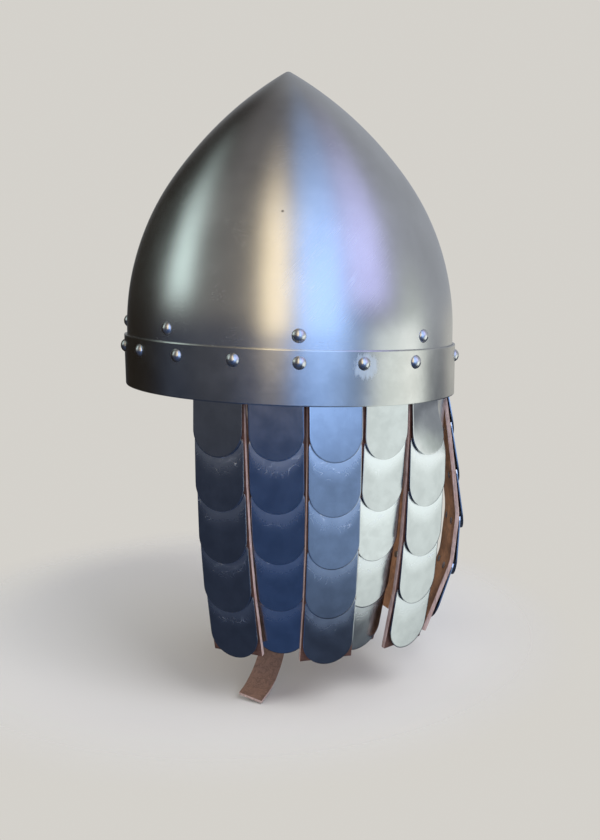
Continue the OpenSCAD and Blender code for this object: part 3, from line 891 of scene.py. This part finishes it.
class HELMET_OT_liner(bpy.types.Operator):
    """Fit the sweat band and the crossing crown straps."""
    bl_idname = "helmet.liner"
    bl_label = "Liner"

    def execute(self, context):
        sizes = context.scene.helmet_sizes
        outer = sizes.skull_r - sizes.skull_t - 0.8 * MM
        profile = [Vector((outer, 0, LINER_RIVET_Z + z * MM)) for z in (-6, -3, 0, 3, 6)]
        band = lathe("sweat_band_leather", profile, steps=128)
        tilt_rim(band)
        dress(band, ["lining_hide", "leather_edge"])
        sheet_wall(band, sizes.strap_t - 0.1 * MM, -1, 0.35 * MM, rim_slot=1)
        smooth(band)
        settle(band, "shell", "liner_leather", "sweat_band")
        half = sizes.crown_w / 2
        reach = math.sqrt((outer - sizes.strap_t) ** 2 - half ** 2) - sizes.strap_t / 2 - 0.1 * MM
        foot, lowest_rise, end_drop = 48 * MM, 66 * MM, 7 * MM
        for k in range(4):
            rise = lowest_rise + k * (sizes.strap_t + STRAP_ROOM) + sizes.strap_t / 2
            arch = [Vector((reach * math.cos(a), 0, foot + rise * math.sin(a)))
                    for a in (math.radians(4 * n) for n in range(46))]
            legs = [Vector((reach, 0, z * MM)) for z in (22, 34, 42)]
            line = legs + arch + [Vector((-p.x, 0, p.z)) for p in reversed(legs)]
            side = Vector((0, half, 0))
            name = f"crown_strap_leather_{k + 1}"
            strap = ribbon(name, [p - side for p in line], [p + side for p in line], 3)
            strap.rotation_euler = (0, 0, math.radians(90 + 45 * k))
            only(strap)
            bpy.ops.object.transform_apply(rotation=True)
            edit(strap)
            point, normal = above_rim(LINER_RIVET_Z - end_drop)
            bpy.ops.mesh.bisect(plane_co=point, plane_no=normal, clear_inner=True)
            bpy.ops.mesh.select_all(action="SELECT")
            bpy.ops.mesh.normals_make_consistent(inside=False)
            bpy.ops.object.mode_set(mode="OBJECT")
            dress(strap, ["lining_hide", "leather_edge"])
            sheet_wall(strap, sizes.strap_t, 0, 0.3 * MM, rim_slot=1)
            smooth(strap)
            settle(strap, "shell", "liner_leather", f"crown_strap_{k + 1}")
        dress_node("crown_button", "rivet_steel")
        return {"FINISHED"}


class HELMET_OT_strips(bpy.types.Operator):
    """Hang the leather strips of the aventail."""
    bl_idname = "helmet.strips"
    bl_label = "Leather strips"

    def execute(self, context):
        templates = outer, tucked, back = [strip_sheet(i) for i in (1, 2, BACK_STRIP)]
        for template in templates:
            smooth(template)
        for i in STRIPS:
            template = back if i == BACK_STRIP else tucked if is_tucked(i) else outer
            piece = copies(template, [Matrix()], f"strip_{i}_hide")
            hang(piece, i)
            settle(piece, f"strip_{i}", "skirt_leather", f"strip_{i}_leather")
        for template in templates:
            discard(template)
        return {"FINISHED"}


class HELMET_OT_scales(bpy.types.Operator):
    """Rivet the scales to the strips."""
    bl_idname = "helmet.scales"
    bl_label = "Scales"

    def execute(self, context):
        rng = random.Random(5)
        for i in STRIPS:
            made = []
            for row, place in enumerate(scale_places(i, rng), 1):
                plate = scale_plate(row, rng.uniform(0, 0.35))
                smooth(plate)
                plate.matrix_world = place
                made.append(plate)
            piece = joined(made, f"strip_{i}_plates")
            dress(piece, ["scale_steel"])
            hang(piece, i)
            settle(piece, f"strip_{i}", "scale_steel", f"strip_{i}_scales")
        return {"FINISHED"}


class HELMET_OT_pins(bpy.types.Operator):
    """Set the flat rivets that hold the scales."""
    bl_idname = "helmet.pins"
    bl_label = "Scale rivets"

    def execute(self, context):
        template = pin_template()
        lift = Matrix.Rotation(math.pi / 2, 4, "X")
        for i in STRIPS:
            places = []
            for top in row_places(i):
                for side in (-PIN_SIDE, PIN_SIDE):
                    places.append(top @ Matrix.Translation((side, 0, -SCALE_SET - PIN_DROP)) @ lift)
            piece = copies(template, places, f"strip_{i}_pins")
            hang(piece, i)
            settle(piece, f"strip_{i}", "rivet_steel", f"strip_{i}_rivets")
        discard(template)
        return {"FINISHED"}


def bar_wrap(last):
    """The strap's end, wrapped round the buckle's bar."""
    here, side = last
    radius = 2.65 * MM
    lean = math.radians(CHIN_LEAN)
    down = Vector((0, math.sin(lean), -math.cos(lean)))
    out = Vector((0, -math.cos(lean), -math.sin(lean)))
    return [(here + radius * (math.sin(a) * down + math.cos(a) * out), side)
            for a in (math.radians(30 * n) for n in range(1, 7))]


def drill(piece, centre, radius):
    """Punches a round hole through a strap."""
    let_go()
    bpy.ops.mesh.primitive_cylinder_add(vertices=20, radius=radius, depth=9 * MM, location=centre,
                                        rotation=(math.radians(90 + CHIN_LEAN), 0, 0))
    cutter = bpy.context.object
    modify(piece, "BOOLEAN", operation="DIFFERENCE", object=cutter, solver="EXACT")
    discard(cutter)


def stud_head(leather):
    """The left strap's stud: a low dome in front, a shank and a washer behind."""
    front = leather / 2 + SEAT
    section = [(0, 1.4), (1, 1.26), (1.9, 0.8), (2.5, 0), (1.2, 0)]
    points = [Vector((r * MM, 0, front + z * MM)) for r, z in section]
    points += [Vector((r * MM, 0, -front - z * MM)) for r, z in ((1.2, 0), (2.5, 0), (2.5, 0.6), (0, 0.8))]
    stud = lathe("chin_stud", points, steps=20)
    smooth(stud, 40)
    dress(stud, ["rivet_steel"])
    return stud


class HELMET_OT_chin_straps(bpy.types.Operator):
    """Cut the two chin straps and hang them from the liner."""
    bl_idname = "helmet.chin_straps"
    bl_label = "Chin straps"

    def execute(self, context):
        sizes = context.scene.helmet_sizes
        lead = (CHIN_LEAD, CHIN_LEAD_LEAN, 0)
        curl = [(CURL_STEP, CHIN_LEAN - lean, slant) for lean, slant in CURL]
        left = [lead, (LEFT_DROP, CHIN_LEAN, CHIN_SLANT)] + curl
        right = [lead, (RIGHT_DROP, CHIN_LEAN, 0)]
        for side, path in (("left", left), ("right", right)):
            place = hinge_place(f"chin_{side}")
            line = strap_line(path, 2.5 * MM, 5 * MM)
            tongue_slot = line[-1][0]
            if side == "right":
                line += bar_wrap(line[-1])
            piece = strap_sheet(f"chin_strap_{side}_hide", line, sizes.chin_w, 3)
            dress(piece, ["strap_hide", "leather_edge"])
            sheet_wall(piece, sizes.strap_t, 0, 0.3 * MM, rim_slot=1)
            if side == "left":
                drop = stretch_places(path)[1]
                seat, *holes = [drop @ Vector((0, 0, PUNCH_PITCH * n - STUD_DROP)) for n in range(6)]
                for hole in holes:
                    drill(piece, hole, 1.7 * MM)
                stud = stud_head(sizes.strap_t)
                turn = Matrix.Rotation(math.radians(90 + CHIN_LEAN), 4, "X")
                stud.matrix_world = place @ Matrix.Translation(seat) @ turn
                settle(stud, "chin_left", "rivet_steel", "chin_strap_stud")
            else:
                drill(piece, tongue_slot, 1.8 * MM)
            smooth(piece)
            piece.matrix_world = place
            settle(piece, f"chin_{side}", "strap_leather", f"chin_strap_{side}")
        return {"FINISHED"}


class HELMET_OT_buckle(bpy.types.Operator):
    """Finish the buckle's frame and tongue."""
    bl_idname = "helmet.buckle"
    bl_label = "Buckle"

    def execute(self, context):
        dress_node("buckle_frame", "band_steel")
        dress_node("buckle_tongue", "rivet_steel")
        return {"FINISHED"}


# Stage

def camera_basis():
    """Where the camera stands and how it is turned, from the photograph's own perspective."""
    distance, elevation, azimuth = 0.6547, math.radians(6.67), math.radians(87.35)
    tilt, pan, roll = math.radians(-2.15), math.radians(-0.56), math.radians(0.41)
    forward = Vector((0, math.cos(elevation), -math.sin(elevation)))
    right = Vector((1, 0, 0))
    up = right.cross(forward)
    tilting = Matrix.Rotation(tilt, 3, right)
    forward, up = tilting @ forward, tilting @ up
    panning = Matrix.Rotation(pan, 3, up)
    forward, right = panning @ forward, panning @ right
    rolling = Matrix.Rotation(roll, 3, forward)
    right, up = rolling @ right, rolling @ up
    turn = Matrix.Rotation(azimuth, 3, "Z")
    place = turn @ Vector((0, -distance * math.cos(elevation), distance * math.sin(elevation)))
    basis = Matrix((turn @ right, turn @ up, -(turn @ forward))).transposed()
    return Matrix.Translation(place) @ basis.to_4x4()


def studio_light(name, azimuth, elevation, distance, size, power, colour):
    """A soft lamp that looks at the helmet's middle."""
    a, e = math.radians(azimuth), math.radians(elevation)
    back = Vector((math.sin(a) * math.cos(e), -math.cos(a) * math.cos(e), math.sin(e)))
    lamp = bpy.data.lights.new(name, "AREA")
    lamp.shape = "RECTANGLE"
    lamp.size, lamp.size_y = size
    lamp.energy = power
    lamp.color = colour
    holder = bpy.data.objects.new(name, lamp)
    holder.location = back * distance
    holder.rotation_mode = "QUATERNION"
    holder.rotation_quaternion = (-back).to_track_quat("-Z", "Y")
    holder.visible_camera = False
    holder.visible_glossy = False
    bpy.context.scene.collection.objects.link(holder)


# Soft panels of the studio: azimuth, half width, its softness, lowest elevation, its softness, highest
# elevation, its softness, colour
PANELS = (
    (80, 24, 14, -60, 5, -1, 8, (0.04, 0.075, 0.18)),
    (122, 18, 12, -30, 12, 4, 14, (0.25, 0.37, 0.61)),
    (215, 60, 20, -6, 5, 60, 26, (0.42, 0.44, 0.47)),
    (178, 8, 10, -8, 6, 14, 18, (0.74, 0.80, 0.72)),
    (38, 18, 12, -9, 3, 2, 8, (0.085, 0.09, 0.11)),
    (166, 20, 12, -39, 2.5, -1, 6, (1.30, 1.39, 1.31)),
    (99, 12, 10, -9, 3, -3, 4, (0.22, 0.50, 1.20)),
    (176, 5, 8, -9, 3, -2, 3, (1.60, 1.62, 1.52)),
    (238, 16, 14, -9, 3, 0, 4, (0.62, 0.61, 0.56)),
)

# Panels that arch over the helmet's side, given by twice the angles of the walls that mirror them
ARCHES = (
    (78, 7, 8, -3, 6, 68, 34, (2.10, 1.72, 1.12)),
    (109, 14, 9, -6, 5, 72, 58, (0.85, 1.30, 2.25)),
    (142, 12, 12, 10, 8, 74, 46, (1.00, 1.00, 1.65)),
    (6, 7, 10, 12, 9, 66, 38, (1.30, 1.58, 1.50)),
)
ARCH_FROM = math.radians(87)


def panel_mask(azimuth, elevation, spans):
    """1 inside a panel, easing to 0 past its sides."""
    centre, half, soft, low, foot, high, head = spans
    inside = 1 - (azimuth - centre).wrapped().absolute().rise(half - soft / 2, half + soft)
    return inside * elevation.rise(low - foot, low + foot) * (1 - elevation.rise(high - head, high + head))


def studio_room(w):
    """The colour of the studio in each direction: a dim room with soft panels."""
    x, y, z = w.xyz(w.node("ShaderNodeTexCoord", output="Generated"))
    degrees = math.degrees(1)
    azimuth = x.math("ARCTAN2", x, 0 - y) * degrees
    elevation = z.math("ARCSINE", z) * degrees
    room = w.mix(elevation.rise(-6, 10), (0.035, 0.045, 0.075), (0.19, 0.18, 0.17))
    room = w.mix(elevation.rise(45, 75), room, (0.155, 0.145, 0.14))
    dark = 1 - (azimuth - 318).wrapped().absolute().rise(18, 45)
    room = w.mix(dark * (1 - elevation.rise(45, 70)), room, (0.02, 0.015, 0.01))
    ahead = x * math.sin(ARCH_FROM) - y * math.cos(ARCH_FROM) + 1
    aside = x * math.cos(ARCH_FROM) + y * math.sin(ARCH_FROM)
    flat = x.math("SQRT", ahead * ahead + aside * aside)
    across = aside.math("ARCTAN2", aside, ahead) * (2 * degrees) + math.degrees(ARCH_FROM)
    upward = z.math("ARCTAN2", z, flat) * (2 * degrees)
    for *spans, colour in PANELS:
        room = w.mix(panel_mask(azimuth, elevation, spans), room, colour)
    for *spans, colour in ARCHES:
        room = w.mix(panel_mask(across, upward, spans), room, colour)
    return room


class HELMET_OT_stage(bpy.types.Operator):
    """Set up the floor, the lamps, the world and the camera."""
    bl_idname = "helmet.stage"
    bl_label = "Stage"

    def execute(self, context):
        scene = context.scene
        floor_z = CAD_BOX[0].z - 2 * MM
        let_go()
        bpy.ops.mesh.primitive_circle_add(vertices=96, radius=0.6, fill_type="NGON", location=(0, 0, floor_z))
        floor = bpy.context.object
        floor.name = "floor"
        bpy.ops.object.transform_apply(location=True)
        f = Finish("floor_paper")
        place = f.object_place()
        shade = f.noise(place, 3, detail=2)
        middle = (-0.10, -0.04, floor_z)
        away = f.node("ShaderNodeVectorMath", {"operation": "DISTANCE"}, {0: place, 1: middle}, output=1)
        tone = f.mix(shade, (0.70, 0.68, 0.65), (0.74, 0.725, 0.695))
        mirrored = f.node("ShaderNodeLightPath", output="Is Glossy Ray")
        floor.data.materials.append(f.close(tone, 0.9, Alpha=(1 - away.rise(0.16, 0.28)) * (1 - mirrored)))
        world = bpy.data.worlds.new("studio")
        scene.world = world
        world.use_nodes = True
        w = Nodes(world.node_tree)
        seen = w.node("ShaderNodeLightPath", output="Is Camera Ray")
        diffuse = w.node("ShaderNodeLightPath", output="Is Diffuse Ray")
        room = studio_room(w)
        colour = w.mix(diffuse * 0.6, room, (0.75, 0.75, 0.76))
        colour = w.mix(seen, colour, (0.66, 0.64, 0.60))
        light = w.node("ShaderNodeBackground", None, {"Color": colour, "Strength": 1.0})
        w.node("ShaderNodeOutputWorld", None, {"Surface": light})
        studio_light("key", 125, 45, 1.5, (0.8, 0.8), 12, (1.0, 0.99, 0.97))
        studio_light("fill", 5, 12, 1.4, (0.7, 0.9), 5, (1.0, 1.0, 0.98))
        camera_data = bpy.data.cameras.new("camera")
        camera_data.sensor_width = 36
        camera_data.lens = 950 / 840 * camera_data.sensor_width
        camera_data.clip_start = 0.01
        camera = bpy.data.objects.new("camera", camera_data)
        scene.collection.objects.link(camera)
        camera.matrix_world = camera_basis()
        scene.camera = camera
        scene.view_settings.view_transform = "Standard"
        return {"FINISHED"}


OPERATORS = (HELMET_OT_stage, HELMET_OT_skull, HELMET_OT_band, HELMET_OT_rivets, HELMET_OT_skirt,
             HELMET_OT_liner, HELMET_OT_strips, HELMET_OT_scales, HELMET_OT_pins, HELMET_OT_chin_straps,
             HELMET_OT_buckle)


class HELMET_PT_panel(bpy.types.Panel):
    """The helmet's pieces, sizes and finishes."""
    bl_idname = "HELMET_PT_panel"
    bl_label = "Helmet"
    bl_space_type = "VIEW_3D"
    bl_region_type = "UI"
    bl_category = "Helmet"

    def draw(self, context):
        layout = self.layout
        for group in (context.scene.helmet_sizes, context.scene.helmet_finish):
            for name in group.__annotations__:
                layout.prop(group, name)
        for operator in OPERATORS:
            layout.operator(operator.bl_idname)


CLASSES = (HelmetSizes, HelmetFinish, *OPERATORS, HELMET_PT_panel)


def register():
    """Registers the classes and the scene's settings."""
    for cls in CLASSES:
        bpy.utils.register_class(cls)
    bpy.types.Scene.helmet_sizes = PointerProperty(type=HelmetSizes)
    bpy.types.Scene.helmet_finish = PointerProperty(type=HelmetFinish)


def unregister():
    """Takes back what register added."""
    del bpy.types.Scene.helmet_finish
    del bpy.types.Scene.helmet_sizes
    for cls in reversed(CLASSES):
        bpy.utils.unregister_class(cls)


def main():
    """Builds the whole helmet and its stage."""
    register()
    for operator in OPERATORS:
        group, name = operator.bl_idname.split(".")
        getattr(getattr(bpy.ops, group), name)()


if __name__ == "__main__":
    main()
